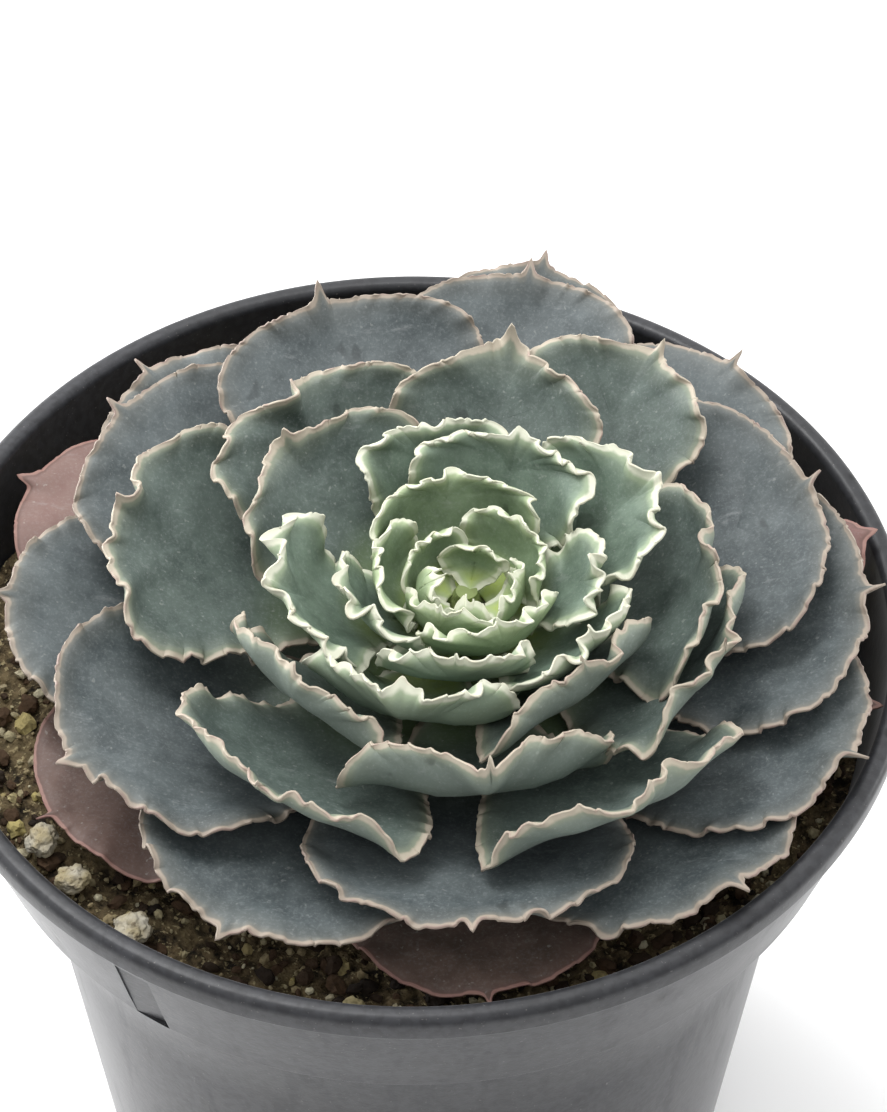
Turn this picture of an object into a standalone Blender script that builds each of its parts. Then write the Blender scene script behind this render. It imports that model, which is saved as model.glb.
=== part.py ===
"""A potted succulent: a frilled rosette on a short stem, in a round plastic nursery pot.

Metres, +Z up.  The origin is the centre of the pot's base, which stands on z = 0.
-Y is the front.  The rosette leans a little to the front and grows a little off the pot's axis.
"""
from math import atan2, cos, pi, radians, sin

import bmesh
import bpy
from mathutils import Vector

# Pot
RIM_RADIUS = 0.060
POT_HEIGHT = 0.100
WALL = 0.0015
LIP_WIDTH = 0.0027
LIP_DEPTH = 0.0034
GROOVE_DEPTH = 0.0010
COLLAR_HEIGHT = 0.0196
COLLAR_TAPER = 0.0038
COLLAR_STEP = 0.0054
BASE_RADIUS = 0.0425
FLOOR = 0.0020
POT_SIDES = 64
DRAIN_COUNT = 8
DRAIN_RADIUS = 0.0040
DRAIN_CIRCLE = 0.0300
NOTCH_ANGLE = -121.5
NOTCH_WIDTH = 0.0045
NOTCH_DEPTH = 0.0006
NOTCH_TWIST = 8.0
NOTCH_BLOCK = 0.0100
DRAIN_CUT = 4.0 * FLOOR
LIP_ROUND = 0.3 * LIP_WIDTH
GROOVE_REACH = 1.4 * GROOVE_DEPTH
GROOVE_DROP = 0.4 * GROOVE_DEPTH

# Soil and the stones lying on it
SOIL_LEVEL = 0.0115
STONE_SIZES = (0.0052, 0.0046, 0.0055)
STONE_ANGLES = (-147.0, -139.5, -128.0)
STONE_MARGIN = 0.0040
STONE_DEPTH_SHARE = 0.8
STONE_HEIGHT_SHARE = 0.6
STONE_SWELL = 0.10
STONE_WAVES = (2100.0, 1700.0)

# Rosette
LEAF_THICKNESS = 0.0008
LEAF_SPACING = 0.00055
LOWEST_LEAF = 0.0019
STEM_BASE = 0.0080
STEM_TAPER = 0.00043
AXIS_OFFSET = Vector((0.0042, 0.0004))
AXIS_LEAN = Vector((0.00015, -0.00042))
TOP_LEVEL = 14.0
CLEARANCE = 0.0003

# The rosette fills the pot, so its full radius is this many times the room above the mix.
SPREAD = 1.0805
DRAWN_RADIUS = 0.060

# The leaves sit on the stem in levels, each level one leaf higher and further in than the last.
# A level is a bowl: how far its tips reach, as a share of the rosette's full radius; how high they
# climb above their own foot on the stem; and the slope at which its leaves leave the stem and end.
# The climbs and the stem are those of a rosette of DRAWN_RADIUS, and growth() fits them to others.
# level, reach, climb in mm, slope at the stem and at the tip in degrees
LEVELS = (
    (0, 0.867, 3.6, -2, 10),
    (1, 0.900, 10.75, 4, 20),
    (2, 0.867, 11.4, 6, 25),
    (3, 0.833, 12.55, 8, 31),
    (4, 0.783, 13.2, 10, 38),
    (5, 0.700, 14.35, 12, 46),
    (6, 0.583, 15.0, 15, 56),
    (7, 0.508, 15.15, 18, 63),
    (8, 0.442, 14.8, 21, 67),
    (9, 0.383, 13.95, 24, 69),
    (10, 0.325, 12.9, 27, 70),
    (11, 0.267, 11.55, 30, 71),
    (12, 0.208, 9.8, 34, 72),
    (13, 0.158, 7.65, 38, 72),
    (14, 0.117, 5.3, 42, 72),
)

# name, azimuth in degrees, level, length as a share of its level's, width as a share of the full radius
LEAVES = (
    ("old_leaf_1", 154, 0.0, 1.03, 0.47),
    ("old_leaf_2", -149, 0.0, 1.02, 0.55),
    ("old_leaf_3", -85, 0.0, 1.00, 0.50),
    ("old_leaf_4", 16, 0.0, 1.00, 0.23),
    ("old_leaf_5", -12, 0.0, 0.96, 0.23),
    ("outer_leaf_01", -117, 1.0, 1.00, 0.59),
    ("outer_leaf_02", -55, 1.0, 1.00, 0.59),
    ("outer_leaf_03", 178, 1.0, 0.99, 0.58),
    ("outer_leaf_04", 75, 1.2, 1.05, 0.44),
    ("outer_leaf_05", 112, 1.0, 1.02, 0.30),
    ("outer_leaf_06", -88, 2.0, 0.97, 0.57),
    ("outer_leaf_07", -28, 2.0, 1.01, 0.54),
    ("outer_leaf_08", 45, 2.2, 1.02, 0.56),
    ("outer_leaf_09", 138, 2.0, 1.01, 0.53),
    ("outer_leaf_10", -150, 2.0, 0.97, 0.57),
    ("outer_leaf_11", -2, 3.2, 0.98, 0.64),
    ("outer_leaf_12", 79, 3.2, 1.04, 0.52),
    ("outer_leaf_13", 147, 3.2, 1.00, 0.58),
    ("outer_leaf_14", 18, 4.2, 0.97, 0.64),
    ("outer_leaf_15", 110, 4.2, 1.02, 0.58),
    ("middle_leaf_01", 166, 5.2, 1.00, 0.57),
    ("middle_leaf_02", -125, 5.0, 0.99, 0.54),
    ("middle_leaf_03", -60, 5.0, 1.03, 0.55),
    ("middle_leaf_04", 55, 5.2, 0.99, 0.44),
    ("middle_leaf_05", -84, 6.0, 1.04, 0.56),
    ("middle_leaf_06", -24, 7.0, 1.04, 0.54),
    ("middle_leaf_07", 126, 6.2, 0.96, 0.52),
    ("middle_leaf_08", 79, 7.2, 1.06, 0.44),
    ("middle_leaf_09", 1, 8.0, 1.08, 0.50),
    ("middle_leaf_10", 138, 8.2, 1.00, 0.46),
    ("middle_leaf_11", -141, 7.0, 1.00, 0.45),
    ("middle_leaf_12", -47, 9.0, 1.10, 0.42),
    ("inner_leaf_1", -104, 8.0, 1.02, 0.44),
    ("inner_leaf_2", 32, 9.2, 1.02, 0.35),
    ("inner_leaf_3", -163, 9.2, 1.00, 0.38),
    ("inner_leaf_4", 102, 9.4, 0.92, 0.32),
    ("inner_leaf_5", 71, 10.4, 1.00, 0.33),
    ("inner_leaf_6", -42, 11.2, 1.10, 0.30),
    ("inner_leaf_7", -98, 10.1, 0.98, 0.33),
    ("inner_leaf_8", -152, 11.2, 0.95, 0.26),
    ("inner_leaf_9", -8, 10.1, 0.92, 0.26),
    ("heart_leaf_1", 95, 12.0, 1.00, 0.27),
    ("heart_leaf_2", -60, 12.4, 1.00, 0.22),
    ("heart_leaf_3", 175, 12.4, 1.00, 0.18),
    ("heart_leaf_4", 28, 12.8, 1.00, 0.18),
    ("heart_leaf_5", -115, 13.6, 1.00, 0.16),
    ("heart_leaf_6", 135, 13.6, 1.00, 0.15),
    ("heart_leaf_7", 0, 14.0, 1.05, 0.15),
)
LEAF_ROWS = 7
LEAF_COLUMNS = 4
SHOULDER = 0.74
BASE_SHARE = 0.19
TIP_SHARE = 0.16
SWELL = 1.75
ROUNDING = 2.4
TIP_CROWDING = 1.35

LEAF_COLOURS = {
    "old": (0.33, 0.19, 0.17),
    "outer": (0.16, 0.23, 0.23),
    "middle": (0.27, 0.36, 0.33),
    "inner": (0.40, 0.52, 0.40),
    "heart": (0.50, 0.62, 0.44),
}


def clear_scene():
    for found in list(bpy.data.objects):
        bpy.data.objects.remove(found, do_unlink=True)


def new_collection(name):
    collection = bpy.data.collections.new(name)
    bpy.context.scene.collection.children.link(collection)
    return collection


def material(name, colour, roughness, metallic=0.0):
    found = bpy.data.materials.get(name)
    if found:
        return found
    made = bpy.data.materials.new(name)
    made.use_nodes = True
    shader = made.node_tree.nodes["Principled BSDF"]
    shader.inputs["Base Color"].default_value = (*colour, 1.0)
    shader.inputs["Roughness"].default_value = roughness
    shader.inputs["Metallic"].default_value = metallic
    return made


def add_object(name, mesh, collection, made_of):
    mesh.name = name
    added = bpy.data.objects.new(name, mesh)
    added.data.materials.append(made_of)
    collection.objects.link(added)
    return added


def mesh_from(bm):
    mesh = bpy.data.meshes.new("mesh")
    bm.to_mesh(mesh)
    bm.free()
    return mesh


def turned(name, profile, steps, collection, made_of):
    """A body turned about Z from a profile of (radius, height) points."""
    mesh = bpy.data.meshes.new(name)
    points = [(radius, 0.0, height) for radius, height in profile]
    mesh.from_pydata(points, [(i, i + 1) for i in range(len(points) - 1)], [])
    added = add_object(name, mesh, collection, made_of)
    screw = added.modifiers.new("turn", 'SCREW')
    screw.steps = steps
    screw.render_steps = steps
    screw.use_merge_vertices = True
    screw.merge_threshold = 0.00001
    screw.use_smooth_shade = True
    return added


def keep_as_cutter(cutter):
    cutter.hide_render = True
    cutter.display_type = 'WIRE'


def cut(target, cutter):
    difference = target.modifiers.new("cut", 'BOOLEAN')
    difference.operation = 'DIFFERENCE'
    difference.object = cutter


def collar_radius(depth):
    """The collar's outer radius at a depth below the rim."""
    top = LIP_DEPTH + GROOVE_DEPTH
    share = max(0.0, depth - top) / (COLLAR_HEIGHT - top)
    return RIM_RADIUS - GROOVE_DEPTH - COLLAR_TAPER * share


def wall_radius(height):
    """The tapered wall's outer radius at a height above the base."""
    top = collar_radius(COLLAR_HEIGHT) - COLLAR_STEP
    return BASE_RADIUS + (top - BASE_RADIUS) * height / (POT_HEIGHT - COLLAR_HEIGHT)


def room_inside(depth):
    """The pot's inner radius at a depth below the rim, from its ledge up to its lip."""
    bottom = COLLAR_HEIGHT - WALL
    flare = COLLAR_TAPER * (bottom - depth) / (bottom - LIP_DEPTH - GROOVE_DEPTH)
    return collar_radius(COLLAR_HEIGHT) - WALL + flare


def pot_inside(top_depth, gap):
    """The pot's inner side from the floor up to a depth below the rim, moved in by a gap."""
    thickness = WALL + gap
    ledge = POT_HEIGHT - COLLAR_HEIGHT
    return [
        (wall_radius(FLOOR) - thickness, FLOOR + gap),
        (wall_radius(ledge) - thickness, ledge + gap),
        (collar_radius(COLLAR_HEIGHT) - thickness, ledge + WALL + gap),
        (room_inside(top_depth) - gap, POT_HEIGHT - top_depth),
    ]


def pot_profile():
    """The whole section: up the inside from the floor, over the lip and down the outside."""
    top = POT_HEIGHT
    inside = [(0.0, FLOOR)] + pot_inside(LIP_DEPTH + GROOVE_DEPTH, 0.0)
    lip = [
        (RIM_RADIUS - LIP_WIDTH, top - LIP_ROUND),
        (RIM_RADIUS - LIP_WIDTH + LIP_ROUND, top),
        (RIM_RADIUS - LIP_ROUND, top),
        (RIM_RADIUS, top - LIP_ROUND),
        (RIM_RADIUS, top - LIP_DEPTH),
        (RIM_RADIUS - GROOVE_REACH, top - LIP_DEPTH - GROOVE_DROP),
    ]
    outside = [
        (collar_radius(0.0), top - LIP_DEPTH - GROOVE_DEPTH),
        (collar_radius(COLLAR_HEIGHT), top - COLLAR_HEIGHT),
        (wall_radius(top - COLLAR_HEIGHT), top - COLLAR_HEIGHT - WALL),
        (wall_radius(WALL), WALL),
        (wall_radius(0.0) - 0.5 * WALL, 0.0),
        (0.0, 0.0),
    ]
    return inside + lip + outside


def add_pot(parts, cutters):
    plastic = material("charcoal plastic", (0.055, 0.057, 0.065), 0.55)
    pot = turned("nursery_pot", pot_profile(), POT_SIDES, parts, plastic)
    for number in range(DRAIN_COUNT):
        angle = 2.0 * pi * (number + 0.5) / DRAIN_COUNT
        bm = bmesh.new()
        bmesh.ops.create_cone(bm, cap_ends=True, segments=12, radius1=DRAIN_RADIUS,
                              radius2=DRAIN_RADIUS, depth=DRAIN_CUT)
        drill = add_object("drain_cutter_%d" % number, mesh_from(bm), cutters, plastic)
        drill.location = (DRAIN_CIRCLE * cos(angle), DRAIN_CIRCLE * sin(angle), 0.0)
        keep_as_cutter(drill)
        cut(pot, drill)
    return pot


def add_notch(pot, cutters):
    """The moulded flat in the collar: it cuts deeper towards one end, which is a sharp step."""
    bm = bmesh.new()
    bmesh.ops.create_cube(bm, size=1.0)
    block = add_object("notch_cutter", mesh_from(bm), cutters, pot.data.materials[0])
    top = LIP_DEPTH + 2.0 * GROOVE_DEPTH
    middle = (top + COLLAR_HEIGHT) / 2.0
    block.scale = (NOTCH_BLOCK, NOTCH_WIDTH, COLLAR_HEIGHT - top)
    taper = atan2(COLLAR_TAPER, COLLAR_HEIGHT - LIP_DEPTH - GROOVE_DEPTH)
    angle = radians(NOTCH_ANGLE)
    stand_off = NOTCH_BLOCK / 2.0 - NOTCH_DEPTH
    reach = collar_radius(middle) + stand_off * cos(taper)
    height = POT_HEIGHT - middle - stand_off * sin(taper)
    block.location = (reach * cos(angle), reach * sin(angle), height)
    block.rotation_euler = (0.0, taper, angle + radians(NOTCH_TWIST))
    keep_as_cutter(block)
    cut(pot, block)


def add_soil(parts):
    earth = material("potting mix", (0.06, 0.042, 0.028), 0.95)
    side = pot_inside(SOIL_LEVEL, CLEARANCE)
    profile = [(0.0, side[-1][1])] + side[::-1] + [(0.0, side[0][1])]
    return turned("potting_mix", profile, POT_SIDES, parts, earth)


def add_stones(parts):
    pumice = material("pumice", (0.55, 0.49, 0.36), 0.9)
    surface = POT_HEIGHT - SOIL_LEVEL
    ring = room_inside(SOIL_LEVEL) - STONE_MARGIN
    for number, (size, degrees) in enumerate(zip(STONE_SIZES, STONE_ANGLES), 1):
        angle = radians(degrees)
        bm = bmesh.new()
        bmesh.ops.create_icosphere(bm, subdivisions=2, radius=size / 2.0)
        for point in bm.verts:
            x, y, z = point.co
            swell = 1.0 + STONE_SWELL * sin(STONE_WAVES[0] * x + number) * cos(STONE_WAVES[1] * y)
            point.co = (x * swell, y * STONE_DEPTH_SHARE * swell, z * STONE_HEIGHT_SHARE)
        stone = add_object("pumice_stone_%d" % number, mesh_from(bm), parts, pumice)
        lift = CLEARANCE + 0.5 * STONE_HEIGHT_SHARE * size
        stone.location = (ring * cos(angle), ring * sin(angle), surface + lift)
        stone.rotation_euler = (0.0, 0.0, angle + number)


def level_shape(level):
    """A level's reach, climb and two slopes, between the two nearest rows of the table."""
    low = min(int(level), len(LEVELS) - 2)
    share = level - low
    return [a + (b - a) * share for a, b in zip(LEVELS[low][1:], LEVELS[low + 1][1:])]


def full_radius():
    """The rosette's radius, of which the tables give the leaves' reach and width as shares."""
    return SPREAD * room_inside(SOIL_LEVEL)


def growth():
    return full_radius() / DRAWN_RADIUS


def stem_point(level):
    """Where the leaves of a level leave the stem: radius and height."""
    height = POT_HEIGHT - SOIL_LEVEL + LOWEST_LEAF + (LEAF_THICKNESS + LEAF_SPACING) * level
    return (STEM_BASE - STEM_TAPER * level) * growth(), height


def axis_at(level):
    return AXIS_OFFSET + AXIS_LEAN * level


def bowl(level):
    """The level's bowl as a quadratic curve in (radius, height), from the stem to the tips."""
    reach, climb, start_slope, end_slope = level_shape(level)
    start = Vector(stem_point(level))
    end = Vector((reach * full_radius(), start.y + climb / 1000.0 * growth()))
    out = Vector((cos(radians(start_slope)), sin(radians(start_slope))))
    back = Vector((cos(radians(end_slope)), sin(radians(end_slope))))
    span = end - start
    along = span.cross(back) / out.cross(back)
    return start, start + out * along, end


def leaf_width_share(along):
    """The outline: a narrow base, the widest place at the shoulder, and a broad rounded tip."""
    if along < SHOULDER:
        return BASE_SHARE + (1.0 - BASE_SHARE) * sin(0.5 * pi * along / SHOULDER) ** SWELL
    past = (along - SHOULDER) / (1.0 - SHOULDER)
    return max(TIP_SHARE, (1.0 - past ** ROUNDING) ** 0.5)


def leaf_point(azimuth, level, length, width, along, across):
    """A place on a leaf: along runs 0 to 1 from stem to tip, across runs -1 to 1."""
    start, turn, end = bowl(level)
    t = along * length
    radius, height = start * (1 - t) ** 2 + turn * (2 * t * (1 - t)) + end * t * t
    half = 0.5 * width * full_radius() * leaf_width_share(along)
    angle = radians(azimuth) + across * half / radius
    centre = axis_at(level)
    return Vector((centre.x + radius * cos(angle), centre.y + radius * sin(angle), height))


def add_leaf(name, azimuth, level, length, width, parts):
    kind = name.split("_")[0]
    flesh = material(kind + " leaf", LEAF_COLOURS[kind], 0.6)
    bm = bmesh.new()
    bmesh.ops.create_grid(bm, x_segments=LEAF_ROWS, y_segments=LEAF_COLUMNS, size=1.0)
    for point in bm.verts:
        along = 1.0 - (0.5 - point.co.x / 2.0) ** TIP_CROWDING
        across = point.co.y
        point.co = leaf_point(azimuth, level, length, width, along, across)
    leaf = add_object(name, mesh_from(bm), parts, flesh)
    leaf.data.shade_smooth()
    solid = leaf.modifiers.new("thickness", 'SOLIDIFY')
    solid.thickness = LEAF_THICKNESS
    solid.offset = 0.0
    solid.use_even_offset = True
    return leaf


def add_stem(parts):
    """The short stem: a leaning cone that the leaves leave level by level."""
    flesh = material("stem", (0.34, 0.42, 0.16), 0.6)
    low_radius, low = stem_point(0.0)
    high_radius, high = stem_point(TOP_LEVEL)
    gap = CLEARANCE + 0.5 * LEAF_THICKNESS
    foot = POT_HEIGHT - SOIL_LEVEL + CLEARANCE
    depth = high - foot
    bm = bmesh.new()
    bmesh.ops.create_cone(bm, cap_ends=True, segments=24, radius1=low_radius - gap,
                          radius2=high_radius - gap, depth=depth)
    for point in bm.verts:
        height = foot + point.co.z + depth / 2.0
        centre = axis_at(TOP_LEVEL * (height - low) / (high - low))
        point.co = Vector((point.co.x + centre.x, point.co.y + centre.y, height))
    return add_object("stem", mesh_from(bm), parts, flesh)


clear_scene()
plant_parts = new_collection("potted_succulent")
cutter_parts = new_collection("cutters")
plastic_pot = add_pot(plant_parts, cutter_parts)
add_notch(plastic_pot, cutter_parts)
add_soil(plant_parts)
add_stones(plant_parts)
add_stem(plant_parts)
for row in LEAVES:
    add_leaf(*row, plant_parts)
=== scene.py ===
"""The potted succulent's looks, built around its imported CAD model.

Metres, +Z up, the pot standing on z = 0 and its front at -Y.  Leaf shapes are worked out in millimetres.
"""
from math import atan2, cos, pi, radians, sin
from random import Random

import bpy
import numpy as np
from mathutils import Euler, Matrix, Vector, noise


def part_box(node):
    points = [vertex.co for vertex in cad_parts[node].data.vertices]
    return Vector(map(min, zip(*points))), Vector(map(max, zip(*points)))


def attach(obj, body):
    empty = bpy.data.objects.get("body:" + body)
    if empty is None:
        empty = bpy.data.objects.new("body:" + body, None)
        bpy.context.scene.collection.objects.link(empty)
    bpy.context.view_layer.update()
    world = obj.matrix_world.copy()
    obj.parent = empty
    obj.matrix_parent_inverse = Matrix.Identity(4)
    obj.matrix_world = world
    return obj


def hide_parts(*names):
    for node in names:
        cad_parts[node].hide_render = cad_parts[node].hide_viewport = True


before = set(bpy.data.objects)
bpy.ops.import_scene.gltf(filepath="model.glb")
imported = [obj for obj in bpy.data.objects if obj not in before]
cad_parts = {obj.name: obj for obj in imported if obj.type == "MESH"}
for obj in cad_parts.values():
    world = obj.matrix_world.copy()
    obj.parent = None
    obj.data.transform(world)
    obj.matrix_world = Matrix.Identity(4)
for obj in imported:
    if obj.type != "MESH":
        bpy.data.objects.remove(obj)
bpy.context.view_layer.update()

MM = 0.001

# ---- Camera -------------------------------------------------------------------------------------
# It stands in front of the pot and looks down on the rosette, so that the rim passes the frame on
# both sides and the pot's lower half is out of view.
pot_low, pot_high = [Vector(corner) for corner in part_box("nursery_pot")]
RIM_HEIGHT = pot_high.z
RIM_RADIUS = (pot_high.x - pot_low.x) / 2.0
CAMERA_DISTANCE = 0.3919
CAMERA_ELEVATION = radians(47.33)
CAMERA_ROLL = radians(0.34)
SENSOR_WIDTH_MM = 36.0
LENS_MM = 103.6
LOOK_AT = Vector((0.00356, 0.00864, RIM_HEIGHT))
camera_data = bpy.data.cameras.new("camera")
camera_data.sensor_width = SENSOR_WIDTH_MM
camera_data.lens = LENS_MM
camera_data.clip_start = 0.01
camera = bpy.data.objects.new("camera", camera_data)
bpy.context.scene.collection.objects.link(camera)
camera.location = LOOK_AT + CAMERA_DISTANCE * Vector((0.0, -cos(CAMERA_ELEVATION), sin(CAMERA_ELEVATION)))
tilt = Euler((pi / 2.0 - CAMERA_ELEVATION, 0.0, 0.0)).to_matrix()
roll = Euler((0.0, 0.0, CAMERA_ROLL)).to_matrix()
camera.rotation_euler = (tilt @ roll).to_euler()
bpy.context.scene.camera = camera


# ---- Nursery pot --------------------------------------------------------------------------------
# One thin moulding in charcoal polypropylene: a rounded lip with a groove under it, a tapered
# collar with a moulded flat, a step in to the tapered wall, and a floor with drain holes.
class Socket:
    """A shader socket that takes part in sums and products as a number does."""

    def __init__(self, tree, link):
        self.tree = tree
        self.link = link

    def node(self, kind, output=0, settings=None, **inputs):
        """Any other node, given as one of its outputs: its settings first, then values or links."""
        made = self.tree.nodes.new("ShaderNode" + kind)
        for key, value in (settings or {}).items():
            setattr(made, key, value)
        for key, value in inputs.items():
            socket = made.inputs[int(key[1:])] if key[0] == "_" else made.inputs[key.replace("_", " ")]
            if isinstance(value, Socket):
                self.tree.links.new(value.link, socket)
            else:
                socket.default_value = value
        return Socket(self.tree, made.outputs[output])

    def math(self, operation, first, second):
        return self.node("Math", 0, {"operation": operation}, _0=first, _1=second)

    def __add__(self, other):
        return self.math("ADD", self, other)

    __radd__ = __add__

    def __sub__(self, other):
        return self.math("SUBTRACT", self, other)

    def __rsub__(self, other):
        return self.math("SUBTRACT", other, self)

    def __mul__(self, other):
        return self.math("MULTIPLY", self, other)

    __rmul__ = __mul__

    def step(self, low, high):
        """0 below low, 1 above high, and smooth between; it falls if high is under low."""
        return self.node("MapRange", 0, {"interpolation_type": "SMOOTHSTEP"}, Value=self,
                         From_Min=low, From_Max=high, To_Min=0.0, To_Max=1.0)

    def mixed(self, first, second):
        """Colour first where this mask is 0 and second where it is 1."""
        colours = [c if isinstance(c, Socket) else (*c, 1.0) for c in (first, second)]
        return self.node("Mix", 2, {"data_type": "RGBA", "clamp_factor": True},
                         _0=self, _6=colours[0], _7=colours[1])


def new_material(name, roughness, **constants):
    """A Principled material, with its shader and its Object coordinates as a Socket."""
    made = bpy.data.materials.new(name)
    made.use_nodes = True
    tree = made.node_tree
    shader = tree.nodes["Principled BSDF"]
    shader.inputs["Roughness"].default_value = roughness
    for key, value in constants.items():
        shader.inputs[key.replace("_", " ")].default_value = value
    place = Socket(tree, tree.nodes.new("ShaderNodeTexCoord").outputs["Object"])
    return made, shader, place


def grain(place, scale, detail=3.0, roughness=0.55, stretch=(1.0, 1.0, 1.0)):
    """Noise of about one bump per 1/scale of a metre, from 0 to 1."""
    moved = place.node("Mapping", 0, Vector=place, Scale=stretch)
    return place.node("TexNoise", 0, Vector=moved, Scale=scale, Detail=detail, Roughness=roughness)


def wire(shader, socket, value):
    """Feeds one of the shader's sockets from a Socket."""
    shader.id_data.links.new(value.link, shader.inputs[socket])


def bumped(shader, height, distance, strength):
    """Fine relief from a height between 0 and 1, as deep as distance in metres."""
    bump = height.node("Bump", 0, Height=height, Distance=distance, Strength=strength)
    wire(shader, "Normal", bump)


def select_only(piece):
    """Deselects everything else, outside edit mode."""
    if bpy.context.object and bpy.context.object.mode != 'OBJECT':
        bpy.ops.object.mode_set(mode='OBJECT')
    bpy.ops.object.select_all(action='DESELECT')
    bpy.context.view_layer.objects.active = piece
    piece.select_set(True)


def added(name):
    """The piece that a primitive operator has just added, under its own name."""
    piece = bpy.context.object
    piece.name = name
    piece.data.name = name
    return piece


def apply_modifiers(piece):
    """Makes the piece's modifiers part of its mesh."""
    select_only(piece)
    for modifier in list(piece.modifiers):
        bpy.ops.object.modifier_apply(modifier=modifier.name)


def set_place(piece):
    """Puts the piece's place, turn and scale into its mesh."""
    select_only(piece)
    bpy.ops.object.transform_apply(location=True, rotation=True, scale=True)


def outward(piece):
    """Turns all of the piece's faces outwards."""
    select_only(piece)
    bpy.ops.object.mode_set(mode='EDIT')
    bpy.ops.mesh.select_all(action='SELECT')
    bpy.ops.mesh.normals_make_consistent(inside=False)
    bpy.ops.object.mode_set(mode='OBJECT')


def finished(piece, skin, slot, *nodes):
    """The last steps of every piece: its finish, its body and what it stands for; slot is not used."""
    piece.data.materials.clear()
    piece.data.materials.append(skin)
    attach(piece, "root")
    if nodes:
        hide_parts(*nodes)


def drawn_up(name, rings, sides):
    """A round piece drawn up ring by ring from a circle: rings are (radius, height) from end to end."""
    select_only(camera)
    radius, height = rings[0]
    bpy.ops.mesh.primitive_circle_add(vertices=sides, radius=radius, fill_type='NGON', location=(0, 0, height))
    piece = added(name)
    set_place(piece)
    bpy.ops.object.mode_set(mode='EDIT')
    bpy.ops.mesh.select_all(action='SELECT')
    for new_radius, new_height in rings[1:]:
        bpy.ops.mesh.extrude_region_move(TRANSFORM_OT_translate={"value": (0.0, 0.0, new_height - height)})
        grow = new_radius / radius
        bpy.ops.transform.resize(value=(grow, grow, 1.0), center_override=(0.0, 0.0, new_height))
        radius, height = new_radius, new_height
    bpy.ops.object.mode_set(mode='OBJECT')
    outward(piece)
    return piece


def arc(centre, radius, start, end, count):
    """Points on a round corner, with angles in degrees from the radius axis."""
    turns = [radians(start + (end - start) * i / (count - 1)) for i in range(count)]
    return [(centre[0] + radius * cos(a), centre[1] + radius * sin(a)) for a in turns]


WALL = 0.0015
LIP_WIDTH = 0.0027
LIP_DEPTH = 0.0034
GROOVE_DEPTH = 0.0010
COLLAR_HEIGHT = 0.0196
COLLAR_TAPER = 0.0038
COLLAR_STEP = 0.0054
BASE_RADIUS = 0.0425
FLOOR = 0.0020
DRAIN_COUNT = 8
DRAIN_RADIUS = 0.0040
DRAIN_CIRCLE = 0.0300
NOTCH_ANGLE = radians(-121.5)
NOTCH_TWIST = radians(8.0)
NOTCH_DEPTH = 0.0006
NOTCH_WIDTH = 0.0045
NOTCH_BLOCK = 0.010
SIDES = 256
SHARP_ANGLE = radians(35.0)
EDGE_ROUND = 0.0005
LIP_ROUND = 0.0011
BASE_ROUND = 0.0011
FLOOR_ROUND = 0.002
FLOOR_RINGS = (0.004, 0.030)
INNER_RING = 0.040
WALL_RINGS = (0.060, 0.040, 0.020, 0.004)
COLLAR_RINGS = (0.008, 0.014)
INNER_COLLAR_RING = 0.010


def collar_radius(depth):
    """The collar's outer radius so far below the rim."""
    top = LIP_DEPTH + GROOVE_DEPTH
    share = max(0.0, depth - top) / (COLLAR_HEIGHT - top)
    return RIM_RADIUS - GROOVE_DEPTH - COLLAR_TAPER * share


def wall_radius(height):
    """The wall's outer radius so far above the ground."""
    top = collar_radius(COLLAR_HEIGHT) - COLLAR_STEP
    return BASE_RADIUS + (top - BASE_RADIUS) * height / (RIM_HEIGHT - COLLAR_HEIGHT)


ledge = RIM_HEIGHT - COLLAR_HEIGHT
lip_in = RIM_RADIUS - LIP_WIDTH
# The profile: from the middle of the floor up the inside, over the lip, and down the outside.
inside = [(radius, FLOOR) for radius in FLOOR_RINGS]
inside += arc((wall_radius(FLOOR) - WALL - FLOOR_ROUND, FLOOR + FLOOR_ROUND), FLOOR_ROUND, -90, 0, 6)
inside += [(wall_radius(INNER_RING) - WALL, INNER_RING), (wall_radius(ledge) - WALL, ledge - 0.0004)]
inside += [(wall_radius(ledge) - WALL + 0.0006, ledge + 0.0002)]
inside += [(collar_radius(COLLAR_HEIGHT) - WALL - 0.0004, ledge + WALL - 0.0002)]
inside += [(collar_radius(COLLAR_HEIGHT - WALL) - WALL, ledge + WALL + 0.0004)]
inside += [(collar_radius(INNER_COLLAR_RING) - WALL, RIM_HEIGHT - INNER_COLLAR_RING)]
inside += [(lip_in, RIM_HEIGHT - LIP_DEPTH - GROOVE_DEPTH)]
lip = arc((lip_in + LIP_ROUND, RIM_HEIGHT - LIP_ROUND), LIP_ROUND, 180, 90, 7)
lip += arc((RIM_RADIUS - LIP_ROUND, RIM_HEIGHT - LIP_ROUND), LIP_ROUND, 90, 0, 7)
lip += arc((RIM_RADIUS - EDGE_ROUND, RIM_HEIGHT - LIP_DEPTH + EDGE_ROUND), EDGE_ROUND, 0, -90, 5)
groove = [(RIM_RADIUS - 2.0 * GROOVE_DEPTH, RIM_HEIGHT - LIP_DEPTH - 0.0001)]
groove += [(RIM_RADIUS - 2.1 * GROOVE_DEPTH, RIM_HEIGHT - LIP_DEPTH - 0.0007)]
groove += [(RIM_RADIUS - 1.5 * GROOVE_DEPTH, RIM_HEIGHT - LIP_DEPTH - 0.9 * GROOVE_DEPTH)]
outside = [(collar_radius(0.0), RIM_HEIGHT - LIP_DEPTH - GROOVE_DEPTH - 0.0001)]
outside += [(collar_radius(depth), RIM_HEIGHT - depth) for depth in COLLAR_RINGS]
outside += arc((collar_radius(COLLAR_HEIGHT) - EDGE_ROUND, ledge + EDGE_ROUND), EDGE_ROUND, 0, -80, 5)
outside += [(wall_radius(ledge) + EDGE_ROUND, ledge - WALL + 0.0001)]
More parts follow.
